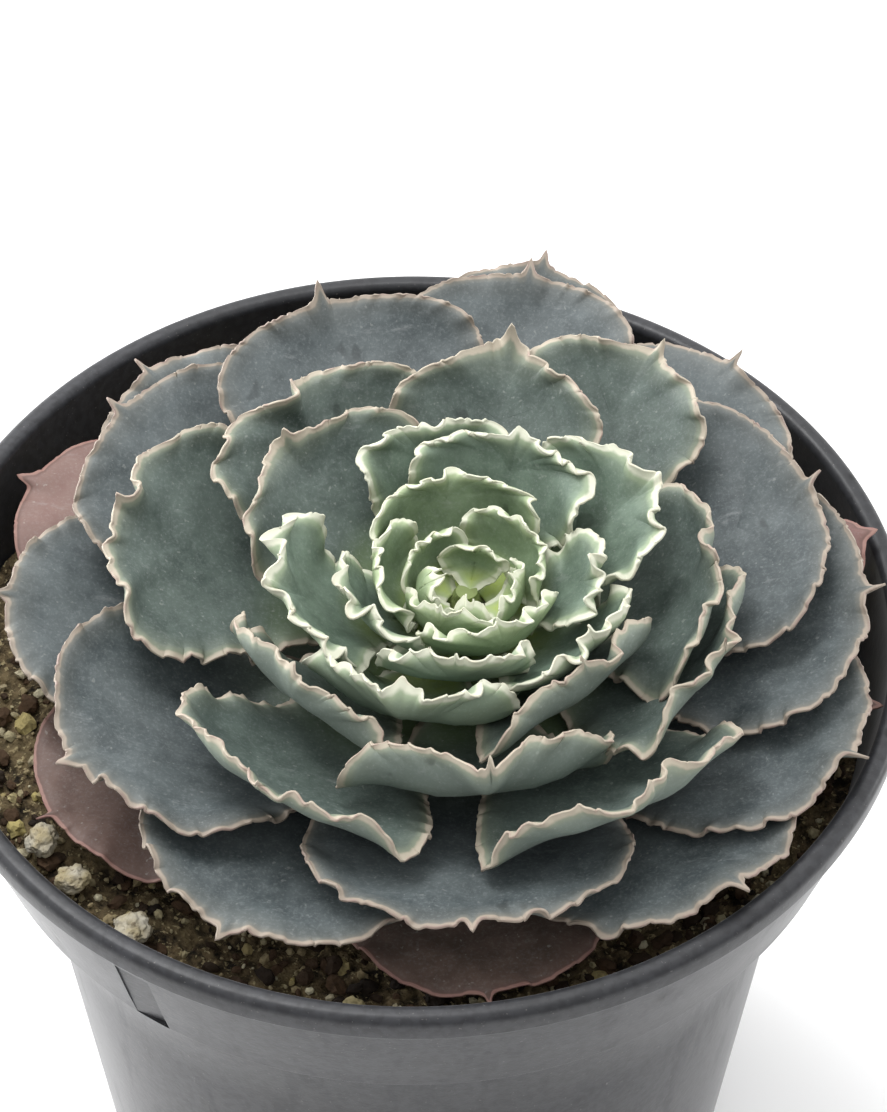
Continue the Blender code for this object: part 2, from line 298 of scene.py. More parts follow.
outside += [(wall_radius(ledge), ledge - WALL - EDGE_ROUND)]
outside += [(wall_radius(height), height) for height in WALL_RINGS]
outside += arc((wall_radius(0.0) - BASE_ROUND, BASE_ROUND), BASE_ROUND, 0, -90, 5)
outside += [(radius, 0.0) for radius in reversed(FLOOR_RINGS)]
pot = drawn_up("pot_moulding", inside + lip + groove + outside, SIDES)

# The drain holes and the collar's flat are cut out of it.
cutters = []
for number in range(DRAIN_COUNT):
    angle = 2.0 * pi * (number + 0.5) / DRAIN_COUNT
    select_only(camera)
    bpy.ops.mesh.primitive_cylinder_add(vertices=40, radius=DRAIN_RADIUS, depth=4.0 * FLOOR,
                                        location=(DRAIN_CIRCLE * cos(angle), DRAIN_CIRCLE * sin(angle), 0.0))
    cutters.append(added("drain_cutter"))
notch_top = LIP_DEPTH + 2.0 * GROOVE_DEPTH
notch_middle = (notch_top + COLLAR_HEIGHT) / 2.0
taper = atan2(COLLAR_TAPER, COLLAR_HEIGHT - LIP_DEPTH - GROOVE_DEPTH)
notch_reach = collar_radius(notch_middle) + (NOTCH_BLOCK / 2.0 - NOTCH_DEPTH) * cos(taper)
select_only(camera)
bpy.ops.mesh.primitive_cube_add(
    size=1.0,
    location=(notch_reach * cos(NOTCH_ANGLE), notch_reach * sin(NOTCH_ANGLE),
              RIM_HEIGHT - notch_middle - (NOTCH_BLOCK / 2.0 - NOTCH_DEPTH) * sin(taper)),
    rotation=(0.0, taper, NOTCH_ANGLE + NOTCH_TWIST))
cutters.append(added("notch_cutter"))
cutters[-1].scale = (NOTCH_BLOCK, NOTCH_WIDTH, COLLAR_HEIGHT - notch_top)
for cutter in cutters:
    cut = pot.modifiers.new("cut", 'BOOLEAN')
    cut.operation = 'DIFFERENCE'
    cut.object = cutter
apply_modifiers(pot)
for cutter in cutters:
    bpy.data.objects.remove(cutter, do_unlink=True)
select_only(pot)
bpy.ops.object.shade_smooth_by_angle(angle=SHARP_ANGLE)

charcoal, shader, place = new_material(
    "charcoal plastic", 0.42, Specular_IOR_Level=0.3, Coat_Roughness=0.2,
    Sheen_Weight=0.30, Sheen_Roughness=0.25)
cloud = grain(place, 45.0, 4.0)
fleck = grain(place, 900.0, 2.0)
rub = grain(place, 260.0, 4.0, 0.6, (1.0, 1.0, 0.22))
dust = grain(place, 2600.0, 2.0)
spots = grain(place, 170.0, 1.0, 0.5, (1.0, 1.0, 0.45)).step(0.70, 0.76)
base = cloud.step(0.3, 0.7).mixed((0.022, 0.023, 0.026), (0.032, 0.033, 0.038))
base = (fleck.step(0.40, 0.62) * 0.5).mixed(base, (0.012, 0.012, 0.014))
base = (rub.step(0.60, 0.72) * 0.35).mixed(base, (0.048, 0.049, 0.053))
base = (spots * 0.85).mixed(base, (0.004, 0.004, 0.005))
base = (dust.step(0.68, 0.74) * 0.35).mixed(base, (0.22, 0.21, 0.20))
wire(shader, "Base Color", base)
wire(shader, "Roughness", 0.36 + cloud * 0.16 + rub.step(0.5, 0.8) * 0.14 - spots * 0.1)
wire(shader, "Coat Weight", 0.16 - spots * 0.13 - fleck.step(0.4, 0.7) * 0.06)
bumped(shader, fleck * 0.6 + dust * 0.4, 0.00006, 0.6)
finished(pot, charcoal, "charcoal_plastic", "nursery_pot")


# ---- Potting mix --------------------------------------------------------------------------------
# Loose peat and grit, filled to just under the rim: one rough plug, with separate grains of pale
# grit, yellowish pumice and dark bark scattered over it.
soil_low, soil_high = [Vector(corner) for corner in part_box("potting_mix")]
SOIL_TOP = soil_high.z
SOIL_RADIUS = soil_high.x - 0.0001
CLEARANCE = 0.0003
PLUG_FOOT_INSET = 0.0012
SOIL_CELLS = 230
SOIL_DIP = 0.0010
HUMP_HEIGHT = 0.0009
CLOD_HEIGHT = 0.0009


def soil_height(x, y):
    """The height of the rough surface, with its humps and clods."""
    spot = Vector((x, y, 0.0))
    humps = noise.fractal(spot * 90.0, 0.9, 2.0, 3)
    clods = noise.fractal(spot * 420.0 + Vector((7.0, 3.0, 0.0)), 0.8, 2.1, 4)
    return SOIL_TOP - SOIL_DIP + HUMP_HEIGHT * humps + CLOD_HEIGHT * clods


select_only(camera)
bpy.ops.mesh.primitive_grid_add(x_subdivisions=SOIL_CELLS, y_subdivisions=SOIL_CELLS, size=2.0)
mix = added("potting_mix_plug")
for point in mix.data.vertices:
    x, y = point.co.x, point.co.y
    round_x = x * (1.0 - y * y / 2.0) ** 0.5 * SOIL_RADIUS
    round_y = y * (1.0 - x * x / 2.0) ** 0.5 * SOIL_RADIUS
    point.co = (round_x, round_y, soil_height(round_x, round_y))
bpy.ops.object.mode_set(mode='EDIT')
bpy.ops.mesh.select_all(action='SELECT')
bpy.ops.mesh.region_to_loop()
bpy.ops.mesh.extrude_region_move(TRANSFORM_OT_translate={"value": (0.0, 0.0, ledge + WALL - SOIL_TOP)})
shrink = (collar_radius(COLLAR_HEIGHT) - WALL - CLEARANCE) / SOIL_RADIUS
bpy.ops.transform.resize(value=(shrink, shrink, 0.0), center_override=(0.0, 0.0, ledge + WALL + CLEARANCE))
radius, height = collar_radius(COLLAR_HEIGHT) - WALL - CLEARANCE, ledge + WALL + CLEARANCE
for new_radius, new_height in (
        (wall_radius(ledge) - WALL - CLEARANCE, ledge + CLEARANCE),
        (wall_radius(0.0) - WALL - PLUG_FOOT_INSET, FLOOR + CLEARANCE)):
    bpy.ops.mesh.extrude_region_move(TRANSFORM_OT_translate={"value": (0.0, 0.0, new_height - height)})
    shrink = new_radius / radius
    bpy.ops.transform.resize(value=(shrink, shrink, 1.0), center_override=(0.0, 0.0, new_height))
    radius, height = new_radius, new_height
bpy.ops.mesh.edge_face_add()
bpy.ops.object.mode_set(mode='OBJECT')
outward(mix)
bpy.ops.object.shade_smooth()

earth, shader, place = new_material("damp potting mix", 0.9, Specular_IOR_Level=0.25)
crumb = grain(place, 600.0, 6.0, 0.65)
lump = grain(place, 160.0, 3.0)
speck = grain(place, 1500.0, 3.0)
soil = crumb.step(0.35, 0.65).mixed((0.012, 0.009, 0.006), (0.190, 0.140, 0.075))
soil = (lump.step(0.45, 0.65) * 0.6).mixed(soil, (0.240, 0.185, 0.095))
soil = (speck.step(0.59, 0.65) * 0.85).mixed(soil, (0.46, 0.38, 0.21))
wire(shader, "Base Color", soil)
bumped(shader, crumb + speck * 0.6, 0.0010, 1.0)
finished(mix, earth, "potting_mix", "potting_mix")

# Each kind of grain: its name, how many, smallest and largest size in mm, how flat, and its colours.
GRAINS = (
    ("bark_bits", 1300, 0.6, 3.0, 0.50,
     ((0.035, 0.022, 0.013), (0.085, 0.050, 0.027), (0.020, 0.014, 0.010))),
    ("pale_grit", 1900, 0.4, 1.8, 0.75,
     ((0.46, 0.40, 0.24), (0.34, 0.27, 0.15), (0.62, 0.57, 0.40))),
    ("yellow_pumice", 200, 0.8, 3.2, 0.70,
     ((0.50, 0.42, 0.17), (0.42, 0.34, 0.16), (0.56, 0.48, 0.26))),
)
GRAIN_INNER = 0.024
GRAIN_MARGIN = 0.0002
GRAIN_RISE = 0.22
GRAIN_CEILING = 0.0012
MOSTLY_SMALL = 2.2
draw = Random(7)
for kind, count, small, large, flat, tints in GRAINS:
    select_only(camera)
    bpy.ops.mesh.primitive_ico_sphere_add(subdivisions=2 if large > 2.0 else 1, radius=0.5)
    seed_grain = added("seed_grain")
    shape = np.array([v.co for v in seed_grain.data.vertices])
    faces = np.array([tuple(f.vertices) for f in seed_grain.data.polygons])
    bpy.data.objects.remove(seed_grain, do_unlink=True)
    all_points, all_faces, shades = [], [], []
    for number in range(count):
        size = small + (large - small) * draw.random() ** MOSTLY_SMALL
        grain_outer = SOIL_RADIUS - 0.5 * size * MM - GRAIN_MARGIN
        reach = (GRAIN_INNER ** 2 + draw.random() * (grain_outer ** 2 - GRAIN_INNER ** 2)) ** 0.5
        turn = draw.uniform(-pi, pi)
        x, y = reach * cos(turn), reach * sin(turn)
        spin = Euler([draw.uniform(-0.5, 0.5), draw.uniform(-0.5, 0.5), draw.uniform(0.0, 2.0 * pi)])
        knobs = np.array([0.72 + 0.5 * draw.random() for _ in shape])
        body = shape * knobs[:, None] * np.array((1.0, 0.55 + 0.4 * draw.random(), flat)) * size * MM
        body = body @ np.array(spin.to_matrix()).T
        body += np.array((x, y, soil_height(x, y) + GRAIN_RISE * size * MM))
        body[:, 2] = np.minimum(body[:, 2], SOIL_TOP + GRAIN_CEILING)
        all_faces.append(faces + number * len(shape))
        all_points.append(body)
        shades += [draw.random()] * len(shape)
    loose = bpy.data.meshes.new(kind)
    loose.from_pydata(np.concatenate(all_points).tolist(), [], np.concatenate(all_faces).tolist())
    loose.attributes.new("shade", 'FLOAT', 'POINT').data.foreach_set("value", shades)
    grains = bpy.data.objects.new(kind, loose)
    bpy.context.scene.collection.objects.link(grains)
    skin, shader, place = new_material(kind.replace("_", " "), 0.85, Specular_IOR_Level=0.3)
    shade = place.node("Attribute", 2, {"attribute_name": "shade"})
    rough = grain(place, 1800.0, 4.0, 0.6)
    tint = shade.step(0.1, 0.5).mixed(tints[0], tints[1])
    tint = shade.step(0.6, 0.95).mixed(tint, tints[2])
    tint = (rough.step(0.45, 0.7) * 0.55).mixed(tint, tuple(0.35 * c for c in tints[1]))
    wire(shader, "Base Color", tint)
    bumped(shader, rough, 0.0003, 0.8)
    finished(grains, skin, "potting_mix" if kind == "bark_bits" else "pumice")


# ---- Pumice stones ------------------------------------------------------------------------------
# Three pebbles of pumice, knobbly and pitted, that came up with the mix and lie loose on it where
# the leaves leave a gap.  Each is a ball worn down by noise until it fills the room of its CAD solid.
STONE_FULLNESS = 0.86
KNOB_SIZE = 0.22
CHIP_SIZE = 0.05
pumice, shader, place = new_material("pitted pumice", 0.9, Specular_IOR_Level=0.3)
pit = grain(place, 1300.0, 4.0, 0.6)
stain = grain(place, 330.0, 3.0)
stone_colour = stain.step(0.35, 0.7).mixed((0.44, 0.37, 0.22), (0.60, 0.56, 0.46))
stone_colour = (pit.step(0.55, 0.68) * 0.7).mixed(stone_colour, (0.16, 0.12, 0.07))
wire(shader, "Base Color", stone_colour)
bumped(shader, pit, 0.0004, 0.9)
for number in (1, 2, 3):
    low, high = [Vector(corner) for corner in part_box("pumice_stone_%d" % number)]
    select_only(camera)
    bpy.ops.mesh.primitive_ico_sphere_add(subdivisions=5, radius=1.0)
    stone = added("pumice_pebble_%d" % number)
    half = (high - low) / 2.0
    for point in stone.data.vertices:
        knob = noise.fractal(point.co * 1.4 + Vector((number * 5.0, 0.0, 0.0)), 0.8, 2.0, 3)
        chip = noise.fractal(point.co * 6.0 + Vector((0.0, number * 3.0, 0.0)), 0.9, 2.0, 3)
        size = min(1.0, STONE_FULLNESS + KNOB_SIZE * knob + CHIP_SIZE * chip)
        point.co = (low + high) / 2.0 + Vector(a * b * size for a, b in zip(point.co, half))
    bpy.ops.object.shade_smooth()
    finished(stone, pumice, "pumice", "pumice_stone_%d" % number)


# ---- Leaves -------------------------------------------------------------------------------------
# Fleshy spoon-shaped blades with a thin frilled margin and a short spine, growing level on level
# from the stem.  Each is one sheet laid on its level's bowl, ruffled, and then given its flesh.
AXIS_OFFSET = (4.2, 0.4)
AXIS_LEAN = (0.15, -0.42)
FIRST_LEAF_HEIGHT = 90.4
LEVEL_RISE = 1.35
SHOULDER = 0.74
BASE_SHARE = 0.19
FULL_RADIUS = 60.0
CROWN = 115.8
CROWN_SOFTNESS = 1.4
HEART_LEVEL = 9.5
HEART_SHIFT = 0.5
WAIST_POWER = 1.75
TIP_POWER = 0.80
TIP_CROWDING = 0.20
RIB_END = 0.25
TOOTH_REACH = 0.8
SPINE_REACH = 1.6
SWAY_REACH = 6.0
# For levels 0 to 14: how far the tips reach as a share of the full radius, how high they climb in
# mm above their foot, and the slopes in degrees at the foot and at the tip.
REACHES = (0.867, 0.900, 0.867, 0.833, 0.783, 0.700, 0.583, 0.508, 0.442, 0.383,
           0.325, 0.267, 0.208, 0.158, 0.117)
CLIMBS = (3.6, 10.75, 11.4, 12.55, 13.2, 14.35, 15.0, 15.15, 14.8, 13.95, 12.6, 10.8, 8.4, 6.0, 3.8)
FOOT_SLOPES = (-2, 4, 6, 8, 10, 12, 15, 18, 21, 24, 25, 24, 20, 14, 6)
TIP_SLOPES = (10, 20, 25, 31, 38, 46, 56, 63, 67, 69, 70, 71, 72, 72, 72)
# Distances of the mesh rows from the margin: in mm, and as shares of the way in to the midrib.
ROWS_MM = (0.0, 0.10, 0.25, 0.45, 0.70, 1.0, 1.4, 2.0, 2.8, 4.0, 5.6, 8.0, 11.5, 99.0)
ROWS_SHARE = (0.0, 0.025, 0.055, 0.09, 0.14, 0.20, 0.27, 0.35, 0.44, 0.54, 0.65, 0.76, 0.88, 1.0)


def smooth(value, low, high):
    """0 below low, 1 above high, and smooth between, for numpy values."""
    share = np.clip((value - low) / (high - low), 0.0, 1.0)
    return share * share * (3.0 - 2.0 * share)


def bowl_curve(level):
    """A level's foot, turn and tip as (radius, height) in mm: the poles of its quadratic curve."""
    reach, climb, foot_slope, tip_slope = [
        np.interp(level, range(15), column) for column in (REACHES, CLIMBS, FOOT_SLOPES, TIP_SLOPES)]
    foot = np.array((8.0 - 0.43 * level, FIRST_LEAF_HEIGHT + LEVEL_RISE * level))
    tip = np.array((reach * FULL_RADIUS, foot[1] + climb))
    out = np.array((cos(radians(foot_slope)), sin(radians(foot_slope))))
    back = np.array((cos(radians(tip_slope)), sin(radians(tip_slope))))
    span = tip - foot
    far = (span[0] * back[1] - span[1] * back[0]) / (out[0] * back[1] - out[1] * back[0])
    return foot, foot + out * far, tip


def half_outline(width):
    """The margin from foot to tip: shares of the length, and half widths in mm."""
    turn = np.linspace(0.0, pi / 2.0, 160)
    blade = np.linspace(0.0, SHOULDER, 120)
    waist = BASE_SHARE + (1.0 - BASE_SHARE) * np.sin(pi / 2.0 * blade / SHOULDER) ** WAIST_POWER
    end = SHOULDER + (1.0 - SHOULDER) * np.sin(turn[1:]) ** TIP_POWER
    share = np.concatenate((waist, np.cos(turn[1:]) ** TIP_POWER))
    return np.concatenate((blade, end)), share * 0.5 * width * FULL_RADIUS


def leaf_sheet(azimuth, level, length, width, look, draw):
    """Places of a leaf's mesh points in metres, by column along the margin and row in from it."""
    foot, turn, tip = bowl_curve(level)
    turn = turn + look["bend"] * np.array((0.8, -0.6))
    t = np.linspace(0.0, 1.3, 400)[:, None]
    curve = foot * (1 - t) ** 2 + turn * 2 * t * (1 - t) + tip * t * t
    steps = np.hypot(*np.diff(curve, axis=0).T)
    run = np.concatenate(((0.0,), np.cumsum(steps)))
    along, side = half_outline(width)
    edge_run = np.interp(along * length, t[:, 0], run)
    full = edge_run[-1]

    # The margin in the flat, from the clockwise side of the foot round the tip to the other side.
    flat = np.concatenate((np.stack((edge_run, -side), 1), np.stack((edge_run, side), 1)[-2::-1]))
    path = np.concatenate(((0.0,), np.cumsum(np.hypot(*np.diff(flat, axis=0).T))))
    middle = path[len(along) - 1]
    columns = int(np.clip(2.0 * middle / look["grain"], 120, 400)) // 2 * 2
    crowd = np.linspace(-1.0, 1.0, columns + 1)
    place = middle * (1.0 + crowd * (1.0 - TIP_CROWDING + TIP_CROWDING * crowd * crowd))
    edge_a = np.interp(place, path, flat[:, 0])
    edge_w = np.interp(place, path, flat[:, 1])
    out_a = np.gradient(edge_w)
    out_w = -np.gradient(edge_a)
    norm = np.hypot(out_a, out_w)
    out_a, out_w = out_a / norm, out_w / norm
    rib_a = edge_a * (1.0 - RIB_END * (edge_a / full) ** 3)

    # Rows in from the margin.
    way = np.hypot(edge_a - rib_a, edge_w)
    depth = np.minimum(np.array(ROWS_MM)[None, :], way[:, None] * np.array(ROWS_SHARE)[None, :])
    share = depth / way[:, None]
    a = edge_a[:, None] + (rib_a - edge_a)[:, None] * share
    w = edge_w[:, None] * (1.0 - share)

    # Scallops along the very edge, and the spine at the tip.
    from_tip = (place - middle)[:, None]
    free = smooth(edge_a / full, 0.18, 0.45)[:, None]
    m = place[:, None]
    phase = [draw.uniform(0.0, 2.0 * pi) for _ in range(8)]
    tooth = m * pi / look["tooth"] + 1.1 * np.sin(m * 0.9 + phase[0]) + 0.6 * np.sin(m * 2.3 + phase[1])
    bite = (np.abs(np.sin(tooth)) - 0.6) * look["scallop"] * (0.7 + 0.3 * np.sin(m * 0.7 + phase[2]))
    nibble = bite * free * np.exp(-depth / TOOTH_REACH)
    spine = look["spine"] * (np.exp(-(from_tip / 0.42) ** 2) + 0.30 * np.exp(-(from_tip / 1.5) ** 2))
    spine = spine * np.exp(-depth / SPINE_REACH)
    a = a + out_a[:, None] * nibble + spine
    w = w + out_w[:, None] * nibble

    # Ruffles: waves across the sheet that grow towards the margin and lean over where they are steep.
    drift = 1.3 * np.sin(m * 2.0 * pi / (2.9 * look["wave"]) + phase[3])
    wave = 2.0 * pi * m / look["wave"] + drift + phase[4]
    strength = 0.72 + 0.38 * np.sin(m * 2.0 * pi / (3.7 * look["wave"]) + phase[5])
    inward = np.exp(-(depth / look["ruffle_reach"]) ** 1.25)
    quick_wave = 1.73 * wave + phase[6] + 0.8 * np.sin(m * 0.31 + phase[7])
    flutter = strength * np.sin(wave) + 0.42 * np.sin(quick_wave)
    lift = look["ruffle"] * flutter * inward * (1.0 - share) * free
    lift = lift + 0.9 * look["scallop"] * np.sin(tooth * 0.9 + phase[6]) * np.exp(-depth / TOOTH_REACH) * free
    lean = -0.10 * look["wave"] * look["lean"] * np.sin(2.0 * wave) * inward * free
    a = a + np.gradient(edge_a)[:, None] / norm[:, None] * lean
    w = w + np.gradient(edge_w)[:, None] / norm[:, None] * lean

    # Slower bends of the whole margin, and its single folds.
    sway = np.sin(2.0 * pi * m / look["sweep"] + phase[2])
    sway = sway + 0.5 * np.sin(2.0 * pi * m / (0.57 * look["sweep"]) + phase[1])
    lift = lift + look["sway"] * sway * np.exp(-(depth / SWAY_REACH) ** 1.3) * (1.0 - share) ** 2 * free
    for spot, height, half, reach in look["folds"]:
        hump = np.exp(-((m - middle * (1.0 + spot)) / half) ** 2)
        hump = hump * np.exp(-(depth / reach) ** 1.5) * (1.0 - share)
        lift = lift + height * hump

    # The blade's own form: each shoulder and the tip stand in from or lean out of the bowl.
    clockwise, at_tip, counter = look["lifts"]
    across = w / (0.5 * width * FULL_RADIUS)
    up = np.clip(a / full, 0.0, 1.1)
    shoulder = np.where(across < 0.0, clockwise, counter) * np.abs(across) ** 1.6
    middle_part = np.exp(-(across / 0.55) ** 2)
    lift = lift + shoulder * smooth(up, 0.30, 0.85) + at_tip * middle_part * smooth(up, 0.45, 1.0)
    soft = np.sin(a * 0.55 + phase[6]) * np.sin(w * 0.5 + phase[7])
    lift = lift + 0.28 * soft * smooth(up, 0.3, 0.7) + look["rise"] * up ** 3

    # On to the bowl, which leans with the stem, and under the crown's height.
    t = np.interp(a, run, t[:, 0])
    point = [foot[i] * (1 - t) ** 2 + turn[i] * 2 * t * (1 - t) + tip[i] * t * t for i in (0, 1)]
    slope = [2.0 * ((turn[i] - foot[i]) * (1 - t) + (tip[i] - turn[i]) * t) for i in (0, 1)]
    steep = np.hypot(*slope)
    radius = point[0] - lift * slope[1] / steep
    height = point[1] + lift * slope[0] / steep
    bent_over = CROWN + CROWN_SOFTNESS * np.tanh((height - CROWN) / CROWN_SOFTNESS)
    height = np.where(height > CROWN, bent_over, height)
    angle = radians(azimuth) + w / np.maximum(point[0], 3.0)
    x = AXIS_OFFSET[0] + AXIS_LEAN[0] * level + radius * np.cos(angle)
    heart_shift = HEART_SHIFT * max(0.0, level - HEART_LEVEL)
    y = AXIS_OFFSET[1] + AXIS_LEAN[1] * level - heart_shift + radius * np.sin(angle)
    places = np.stack((x, y, height), -1) * MM
    return places, depth, np.clip(a / full, 0.0, 1.0)


def grow_leaf(name, azimuth, level, length, width, look, skin, slot, seed):
    """One leaf: a grid laid out by leaf_sheet, its two halves joined at the midrib, and thickened."""
    places, depth, along = leaf_sheet(azimuth, level, length, width, look, Random(seed))
    columns, rows = depth.shape
    select_only(camera)
    bpy.ops.mesh.primitive_grid_add(x_subdivisions=rows - 1, y_subdivisions=columns - 1, size=1.0)
    leaf = added(name + "_blade")
    mesh = leaf.data
    mesh.vertices.foreach_set("co", places.reshape(-1))
    thick = look["flesh"] * (0.30 + 0.70 * smooth(depth, 0.0, 1.5)) * (1.0 - 0.25 * smooth(along, 0.4, 0.0))
    group = leaf.vertex_groups.new(name="flesh")
    for index, share in enumerate((thick / look["flesh"]).reshape(-1)):
        group.add((index,), float(share), 'REPLACE')
    for key, values in (("rim", depth), ("along", along)):
        mesh.attributes.new(key, 'FLOAT', 'POINT').data.foreach_set("value", values.reshape(-1))
    bpy.ops.object.mode_set(mode='EDIT')
    bpy.ops.mesh.select_all(action='SELECT')
    bpy.ops.mesh.remove_doubles(threshold=0.000005)
    bpy.ops.object.mode_set(mode='OBJECT')
    sheet_points = len(mesh.vertices)
    solid = leaf.modifiers.new("flesh", 'SOLIDIFY')
    solid.thickness = look["flesh"] * MM
    solid.offset = 0.0
    solid.vertex_group = "flesh"
    apply_modifiers(leaf)
    leaf.vertex_groups.clear()
    below = [1.0] * sheet_points + [0.0] * (len(mesh.vertices) - sheet_points)
    mesh.attributes.new("below", 'FLOAT', 'POINT').data.foreach_set("value", below)
    # pale is the leaf's share of painted light, warm its share of red blush.
    for key in ("pale", "warm"):
        mesh.attributes.new(key, 'FLOAT', 'POINT').data.foreach_set("value", [look[key]] * len(mesh.vertices))
    bpy.ops.object.shade_smooth()
    finished(leaf, skin, slot, *[node for node in (name,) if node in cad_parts])


def leaf_skin(name, blade, deep, under, edge, inner_edge, foot, edge_width, blush, speckled):
    """A leaf's finish: powdery bloom over the blade colour, random paler mottling with painted light on leaves
    marked pale, a pale margin, and small marks.
    """
    made, shader, place = new_material(name, 0.55, Specular_IOR_Level=0.4)
    rim = place.node("Attribute", 2, {"attribute_name": "rim"})
    along = place.node("Attribute", 2, {"attribute_name": "along"})
    below = place.node("Attribute", 2, {"attribute_name": "below"})
    pale = place.node("Attribute", 2, {"attribute_name": "pale"})
    warm = place.node("Attribute", 2, {"attribute_name": "warm"})
    cloud = grain(place, 110.0, 4.0, 0.6)
    mottle = grain(place, 420.0, 5.0, 0.65)
    powder = grain(place, 2400.0, 3.0, 0.7)
    dots = grain(place, 1500.0, 1.0, 0.5).step(0.70, 0.76)
    scars = grain(place, 230.0, 2.0, 0.5, (1.0, 0.6, 1.0)).step(0.68, 0.74)
    scuff = grain(place, 330.0, 5.0, 0.75, (0.3, 1.0, 0.6)).step(0.60, 0.72)
    colour = cloud.step(0.3, 0.7).mixed(deep, blade)
    colour = (below * 0.85).mixed(colour, under)
    colour = (along.step(0.55, 0.12) * 0.9).mixed(colour, foot)
    colour = (warm * (0.55 + 0.45 * mottle)).mixed(colour, blush)
    # Paler colour: mottled at random over every leaf, plus painted light that makes the leaves marked pale
    # lighter all over.
    paler_mottle_and_painted_light = tuple(min(1.0, 1.9 * c + 0.03) for c in blade)
    colour = ((mottle - 0.5) * 0.9 + 0.10 + pale * 0.9).mixed(colour, paler_mottle_and_painted_light)
    colour = (powder.step(0.45, 0.75) * 0.10).mixed(colour, (0.62, 0.66, 0.66))
    colour = (scuff * 0.14).mixed(colour, (0.50, 0.52, 0.52))
    colour = (dots * speckled).mixed(colour, (0.62, 0.64, 0.60))
    colour = (scars * 0.5).mixed(colour, tuple(0.45 * c for c in deep))
    colour = (rim.step(4.5, 0.5) * 0.26).mixed(colour, inner_edge)
    wobble = rim + (grain(place, 500.0, 2.0) - 0.5) * 0.9 * edge_width
    colour = (wobble.step(2.1 * edge_width, 0.8 * edge_width) * 0.75).mixed(colour, inner_edge)
    colour = wobble.step(1.05 * edge_width, 0.55 * edge_width).mixed(colour, edge)
    colour = ((rim.step(0.35, 0.0) * mottle.step(0.45, 0.65)) * 0.5).mixed(colour, blush)
    wire(shader, "Base Color", colour)
    wire(shader, "Roughness", 0.50 + powder * 0.18 - scuff * 0.1)
    bumped(shader, powder * 0.35 + mottle * 0.9 - scars * 0.5, 0.00010, 0.55)
    return made


# A plain leaf's look.  Lengths and heights are in mm.  Tooth, wave and sweep are the lengths of its
# scallops, ruffles and slow bends, and scallop, ruffle and sway their heights; bend and rise change
# the bowl; pale is painted light, the share by which a leaf towards the light, at the back and left,
# is painted lighter, and warm is a share of red wear.  A fold is its place on the margin, from -1 at
# the clockwise foot past 0 at the tip to 1 at the other foot, its height, its half width and its reach.
PLAIN = {
    "grain": 0.30, "tooth": 1.35, "scallop": 0.30, "spine": 1.9, "wave": 8.0, "ruffle": 0.34,
    "ruffle_reach": 1.7, "lean": 0.4, "sway": 0.45, "sweep": 19.0, "folds": (),
    "bend": 0.0, "rise": 0.0, "flesh": 1.0, "pale": 0.0, "warm": 0.0,
}


def grow_group(leaves, first_seed, skin, slot, **common):
    """The leaves of one table, each with its own seed and what it has in common with the others."""
    for seed, (name, azimuth, level, length, width, lifts, own) in enumerate(leaves, first_seed):
        look = {**PLAIN, "lifts": lifts, **common, **own}
        grow_leaf(name, azimuth, level, length, width, look, skin, slot, seed)


# ---- Old leaves ---------------------------------------------------------------------------------
# The lowest leaves, lying almost flat under the rosette: they are dying back from blue-grey to a
# brownish wine red, and their margins have thinned to a dry pink line.
old_skin = leaf_skin(
    "old leaf", blade=(0.128, 0.086, 0.070), deep=(0.086, 0.062, 0.050), under=(0.12, 0.075, 0.064),
    edge=(0.32, 0.185, 0.155), inner_edge=(0.130, 0.075, 0.062), foot=(0.10, 0.075, 0.04), edge_width=0.45,
    blush=(0.250, 0.110, 0.105), speckled=0.25)
# For each leaf: its name, azimuth in degrees, level, length and width as shares, how far in mm the
# clockwise shoulder, the tip and the other shoulder stand in from the bowl, and what else differs
# from a plain leaf.
OLD_LEAVES = (
    ("old_leaf_1", 156, 0.0, 1.12, 0.52, (1.8, 2.2, 1.4), {"warm": 0.9, "pale": 0.5}),
    ("old_leaf_2", -149, 0.0, 1.03, 0.58, (0.2, -0.3, 0.6), {"warm": 0.15}),
    ("old_leaf_3", -85, 0.0, 1.00, 0.53, (-0.3, -0.6, 0.3), {"warm": 0.0}),
    ("old_leaf_4", 12, 0.35, 1.00, 0.28, (4.4, 4.8, 4.4), {"warm": 0.8}),
    ("old_leaf_5", -14, 0.0, 0.99, 0.24, (2.2, 2.6, 1.4), {"warm": 0.5}),
)
grow_group(OLD_LEAVES, 0, old_skin, "old_leaf", ruffle=0.30, scallop=0.10, spine=1.7, flesh=0.8)


